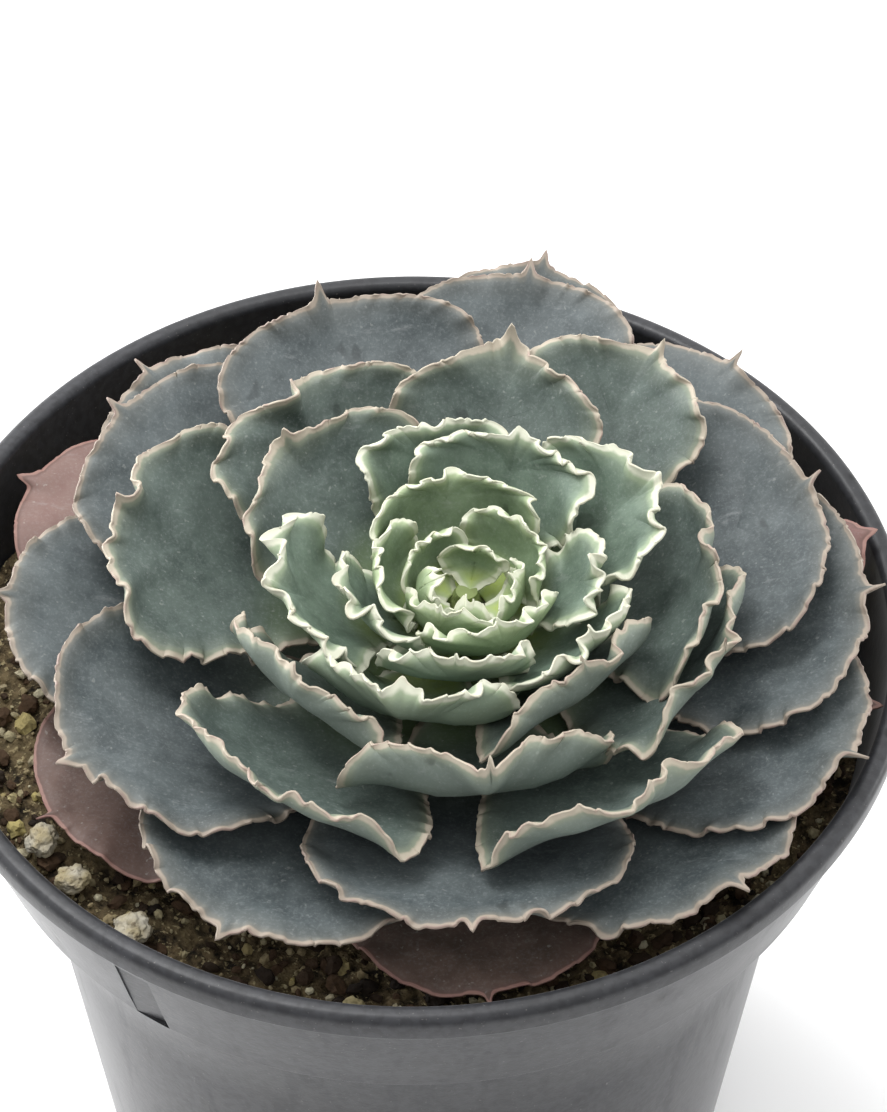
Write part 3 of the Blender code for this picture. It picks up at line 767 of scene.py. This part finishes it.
# ---- Outer leaves -------------------------------------------------------------------------------
# Full-grown leaves that spread out to the rim: dark blue-grey under their bloom, with buff-pink
# margins, finely scalloped and only gently waved.
outer_skin = leaf_skin(
    "outer leaf", blade=(0.074, 0.089, 0.092), deep=(0.040, 0.052, 0.056), under=(0.120, 0.140, 0.130),
    edge=(0.31, 0.26, 0.21), inner_edge=(0.155, 0.152, 0.130), foot=(0.10, 0.14, 0.07), edge_width=0.65,
    blush=(0.26, 0.16, 0.15), speckled=0.12)
OUTER_LEAVES = (
    ("outer_leaf_01", -117, 1.0, 1.00, 0.63, (1.8, -0.6, 0.4), {"folds": ((0.0, -0.8, 3.0, 6.0),)}),
    ("outer_leaf_02", -54, 1.0, 1.00, 0.62, (-1.2, 0.2, -0.4), {"bend": 1.5, "rise": 0.2}),
    ("outer_leaf_03", 181, 0.8, 1.00, 0.60, (2.0, 2.0, 1.6), {"pale": 0.15}),
    ("outer_leaf_04", 78, 1.2, 1.07, 0.50, (1.4, 1.2, 2.0), {"pale": 0.2}),
    ("outer_leaf_05", 105, 0.6, 1.02, 0.31, (0.5, 0.5, 0.5), {"pale": 0.25}),
    ("outer_leaf_06", -87, 2.3, 0.97, 0.66, (2.0, 0.8, 1.4),
     {"bend": 2.0, "rise": 0.4, "folds": ((0.0, -1.0, 4.0, 6.0),)}),
    ("outer_leaf_07", -29, 2.0, 1.00, 0.60, (0.3, -0.4, 0.2), {}),
    ("outer_leaf_08", 45, 2.2, 0.99, 0.60, (2.0, 2.4, 0.2), {"pale": 0.3}),
    ("outer_leaf_09", 139, 2.2, 1.01, 0.54, (1.8, 2.6, 1.0), {"pale": 0.3}),
    ("outer_leaf_10", -147, 2.2, 0.99, 0.62, (5.0, 2.0, 2.6),
     {"folds": ((0.0, -1.4, 4.0, 7.0), (-0.4, 1.4, 6.0, 9.0))}),
    ("outer_leaf_11", -2, 3.2, 0.98, 0.69, (0.6, -0.6, 1.0), {}),
    ("outer_leaf_12", 79, 3.2, 1.09, 0.54, (2.8, -1.0, 0.4), {"pale": 0.1}),
    ("outer_leaf_13", 148, 3.2, 1.00, 0.62, (1.5, 1.9, 0.8), {"pale": 0.15}),
    ("outer_leaf_14", 17, 4.2, 0.97, 0.72, (2.4, 0.6, 1.4), {}),
    ("outer_leaf_15", 111, 4.4, 1.08, 0.61, (3.4, -2.4, 2.2), {"pale": 0.1}),
)
grow_group(OUTER_LEAVES, 100, outer_skin, "outer_leaf", ruffle=0.45)


# ---- Middle leaves ------------------------------------------------------------------------------
# The rosette's showpiece: grey-green leaves standing up in a bowl, their margins pulled into soft
# S-shaped folds and edged with a cream frill.
middle_skin = leaf_skin(
    "middle leaf", blade=(0.086, 0.114, 0.100), deep=(0.050, 0.071, 0.062), under=(0.190, 0.230, 0.200),
    edge=(0.43, 0.38, 0.30), inner_edge=(0.235, 0.260, 0.190), foot=(0.20, 0.29, 0.10), edge_width=0.85,
    blush=(0.34, 0.21, 0.19), speckled=0.15)
MIDDLE_LEAVES = (
    ("middle_leaf_01", 170, 5.2, 1.03, 0.62, (2.6, 0.5, 0.6), {"bend": 2.5}),
    ("middle_leaf_02", -122, 5.0, 0.98, 0.59, (2.0, -0.4, -2.0),
     {"bend": 6.0, "rise": 2.0, "sway": 0.6, "folds": ((-0.5, 1.2, 4.0, 6.0),)}),
    ("middle_leaf_03", -60, 5.1, 1.04, 0.57, (-3.0, -2.2, -2.4),
     {"bend": 7.0, "rise": 2.4, "folds": ((0.0, -1.6, 2.6, 5.0), (0.4, 1.0, 3.5, 6.0))}),
    ("middle_leaf_04", 54, 5.2, 1.04, 0.47, (3.6, 0.7, 2.6), {"folds": ((0.0, -1.4, 2.6, 5.0),)}),
    ("middle_leaf_05", -84, 6.3, 1.03, 0.56, (-1.0, -2.0, -1.0),
     {"bend": 9.0, "rise": 3.6,
      "folds": ((0.0, -3.2, 3.0, 7.0), (0.24, 1.4, 4.0, 6.0), (-0.26, 1.2, 4.0, 6.0))}),
    ("middle_leaf_06", -26, 6.0, 0.96, 0.55, (-0.6, 0.0, 0.2), {"bend": 6.0, "rise": 1.4}),
    ("middle_leaf_07", 129, 6.2, 1.00, 0.58, (2.0, 2.2, 1.8),
     {"folds": ((0.03, 2.8, 2.2, 7.0), (0.16, -1.0, 3.0, 5.0))}),
    ("middle_leaf_08", 79, 7.2, 1.04, 0.47, (1.8, -3.6, 2.0),
     {"folds": ((0.0, -1.4, 3.0, 6.0), (0.5, 1.0, 4.0, 5.0))}),
    ("middle_leaf_09", -4, 6.8, 0.98, 0.53, (-1.9, 0.0, 1.2), {"bend": 4.0, "rise": 1.4}),
    ("middle_leaf_10", 141, 8.3, 0.98, 0.50, (2.0, -1.0, -1.4), {}),
    ("middle_leaf_11", -133, 7.0, 1.00, 0.47, (-0.6, 1.0, -0.6),
     {"bend": 6.0, "rise": 2.5, "folds": ((-0.32, 2.6, 4.0, 8.0),)}),
    ("middle_leaf_12", -53, 8.0, 0.96, 0.46, (-3.6, 0.0, 0.4), {"bend": 5.5, "rise": 3.0}),
)
grow_group(MIDDLE_LEAVES, 200, middle_skin, "middle_leaf", ruffle=0.55, wave=7.5, sway=0.95,
           sweep=16.0, lean=0.5, spine=1.5, flesh=0.95)


# ---- Inner leaves -------------------------------------------------------------------------------
# Young upright leaves, pale green with yellow-green feet, so tightly frilled that their cream
# margins double back on themselves.
inner_skin = leaf_skin(
    "inner leaf", blade=(0.130, 0.182, 0.138), deep=(0.085, 0.125, 0.092), under=(0.260, 0.325, 0.240),
    edge=(0.60, 0.61, 0.49), inner_edge=(0.33, 0.40, 0.26), foot=(0.42, 0.52, 0.10), edge_width=1.05,
    blush=(0.55, 0.48, 0.36), speckled=0.10)
INNER_LEAVES = (
    ("inner_leaf_1", -106, 8.4, 0.98, 0.47, (0.6, -0.8, 0.8),
     {"bend": 6.0, "rise": 2.6, "folds": ((0.0, -2.2, 2.6, 6.0), (0.3, 1.2, 3.0, 5.0))}),
    ("inner_leaf_2", 24, 9.0, 1.02, 0.44, (1.0, -1.0, 2.2),
     {"folds": ((0.0, -2.0, 2.6, 5.0), (-0.5, 1.4, 3.5, 5.0))}),
    ("inner_leaf_3", -163, 9.2, 0.99, 0.42, (2.2, 0.8, -0.4),
     {"bend": 2.0, "folds": ((0.0, -2.2, 2.4, 5.0), (0.5, 1.2, 3.0, 5.0))}),
    ("inner_leaf_4", 103, 9.3, 0.92, 0.36, (0.0, 2.4, 3.0),
     {"folds": ((0.0, 2.4, 2.4, 6.0), (-0.2, -0.8, 3.0, 5.0), (0.45, 1.2, 3.0, 5.0))}),
    ("inner_leaf_5", 69, 10.2, 1.04, 0.46, (2.6, 0.2, 3.6),
     {"folds": ((0.05, 1.6, 2.2, 5.0), (-0.35, -1.0, 3.0, 5.0))}),
    ("inner_leaf_6", -44, 9.4, 0.97, 0.36, (-1.2, -0.6, 0.2), {"bend": 3.0, "rise": 1.0}),
    ("inner_leaf_7", -92, 10.3, 0.98, 0.33, (0.6, 0.4, 1.2), {"bend": 3.0, "rise": 0.6}),
    ("inner_leaf_8", -152, 11.2, 0.97, 0.31, (0.8, 0.6, 1.0), {"bend": 1.0}),
    ("inner_leaf_9", -8, 10.7, 0.92, 0.26, (0.2, 0.4, 0.9), {}),
)
grow_group(INNER_LEAVES, 300, inner_skin, "inner_leaf", grain=0.25, ruffle=0.95, wave=6.5,
           ruffle_reach=1.8, sway=0.7, sweep=13.0, scallop=0.36, tooth=1.2, lean=0.7, spine=1.0,
           flesh=0.9)


# ---- Heart leaves -------------------------------------------------------------------------------
# The newest leaves, still closed round the growing point: small, bright yellow-green and almost
# all cream frill.  Three buds with no CAD solid of their own close the middle.
heart_skin = leaf_skin(
    "heart leaf", blade=(0.160, 0.225, 0.130), deep=(0.105, 0.155, 0.085), under=(0.240, 0.315, 0.170),
    edge=(0.64, 0.66, 0.52), inner_edge=(0.40, 0.48, 0.28), foot=(0.46, 0.56, 0.09), edge_width=0.90,
    blush=(0.62, 0.60, 0.42), speckled=0.08)
HEART_LEAVES = (
    ("heart_leaf_1", 100, 11.4, 0.98, 0.46, (1.2, 0.6, 1.2), {"rise": 1.8}),
    ("heart_leaf_2", -68, 11.8, 1.00, 0.37, (0.9, 0.4, 1.2), {"rise": 1.4, "bend": 1.5}),
    ("heart_leaf_3", 178, 12.0, 0.98, 0.32, (0.8, 0.6, 0.3), {"rise": 1.8}),
    ("heart_leaf_4", 38, 12.3, 0.98, 0.32, (1.0, 0.6, 0.8), {"rise": 2.0}),
    ("heart_leaf_5", -112, 12.8, 0.98, 0.27, (1.3, 0.7, 0.6), {"rise": 2.2}),
    ("heart_leaf_6", 140, 13.1, 1.00, 0.24, (0.5, 0.6, 0.5), {"rise": 2.4}),
    ("heart_leaf_7", -12, 13.4, 1.02, 0.21, (0.4, 0.6, 0.4), {"rise": 2.4}),
    ("heart_bud_1", 80, 13.8, 1.00, 0.17, (0.3, 0.5, 0.3), {"rise": 2.6}),
    ("heart_bud_2", -90, 14.0, 1.00, 0.12, (0.3, 0.5, 0.3), {"rise": 3.0}),
    ("heart_bud_3", 190, 14.0, 1.15, 0.15, (0.2, 0.5, 0.2), {"rise": 3.4}),
)
grow_group(HEART_LEAVES, 400, heart_skin, "heart_leaf", grain=0.18, ruffle=0.75, wave=5.0,
           ruffle_reach=1.4, sway=0.35, sweep=10.0, lean=0.7, spine=0.5, tooth=1.0, scallop=0.2,
           flesh=0.7)


# ---- Stem ---------------------------------------------------------------------------------------
# The short fleshy stem that every leaf grows from, pale green and ringed with leaf scars.  Its CAD
# solid has the right shape and stays; only its finish is made here.
stem_green, shader, place = new_material("fleshy stem", 0.6, Specular_IOR_Level=0.35)
rings = grain(place, 700.0, 3.0, 0.5, (0.15, 0.15, 1.0))
fibre = grain(place, 1500.0, 4.0)
stem_colour = rings.step(0.4, 0.6).mixed((0.24, 0.30, 0.11), (0.36, 0.42, 0.18))
stem_colour = (fibre.step(0.55, 0.75) * 0.4).mixed(stem_colour, (0.22, 0.16, 0.09))
wire(shader, "Base Color", stem_colour)
bumped(shader, rings + fibre * 0.5, 0.0002, 0.7)
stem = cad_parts["stem"]
stem.data.materials.clear()
stem.data.materials.append(stem_green)


# ---- Studio -------------------------------------------------------------------------------------
# A plain pale floor under a white surround that is brighter behind and above than in front, with
# soft panels overhead and at both sides, which light the pot's flanks and leave its front in shade.
FLOOR_GAP = 0.0002
FRONT_LIGHT = 0.42
BACK_LIGHT = 0.80
TOP_LIGHT = 0.55
select_only(camera)
bpy.ops.mesh.primitive_plane_add(size=8.0, location=(0.0, 0.0, -FLOOR_GAP))
floor = added("studio_floor")
set_place(floor)
floor_paint, shader, place = new_material("pale studio floor", 0.9, Specular_IOR_Level=0.0)
wire(shader, "Base Color", (grain(place, 3.0, 2.0) * 0.4).mixed((0.93, 0.93, 0.93), (0.90, 0.90, 0.90)))
floor.data.materials.append(floor_paint)

surround = bpy.data.worlds.new("white surround")
surround.use_nodes = True
tree = surround.node_tree
backdrop = tree.nodes["Background"]
sky = Socket(tree, tree.nodes.new("ShaderNodeTexCoord").outputs["Generated"])
behind, above = [sky.node("SeparateXYZ", output, Vector=sky) for output in (1, 2)]
seen = sky.node("LightPath", 0)
daylight = FRONT_LIGHT + BACK_LIGHT * behind.step(-0.55, 0.60) + TOP_LIGHT * above.step(0.0, 0.9)
backdrop.inputs["Color"].default_value = (1.0, 1.0, 1.0, 1.0)
tree.links.new((seen + (1.0 - seen) * daylight).link, backdrop.inputs["Strength"])
bpy.context.scene.world = surround
bpy.context.scene.view_settings.view_transform = 'Standard'

# For each panel: its name, place, width in metres, and watts.
SOFT_LIGHTS = (
    ("overhead panel", (-0.25, 0.30, 0.95), 0.50, 5.0),
    ("left panel", (-0.80, 0.50, 0.16), 0.70, 14.0),
    ("right panel", (0.95, 0.35, 0.25), 0.50, 3.0),
)
for name, spot, width, watts in SOFT_LIGHTS:
    panel_data = bpy.data.lights.new(name, 'AREA')
    panel_data.shape = 'DISK'
    panel_data.size = width
    panel_data.energy = watts
    panel = bpy.data.objects.new(name, panel_data)
    panel.location = spot
    panel.rotation_euler = (Vector((0.0, 0.0, RIM_HEIGHT)) - Vector(spot)).to_track_quat('-Z', 'Y').to_euler()
    bpy.context.scene.collection.objects.link(panel)
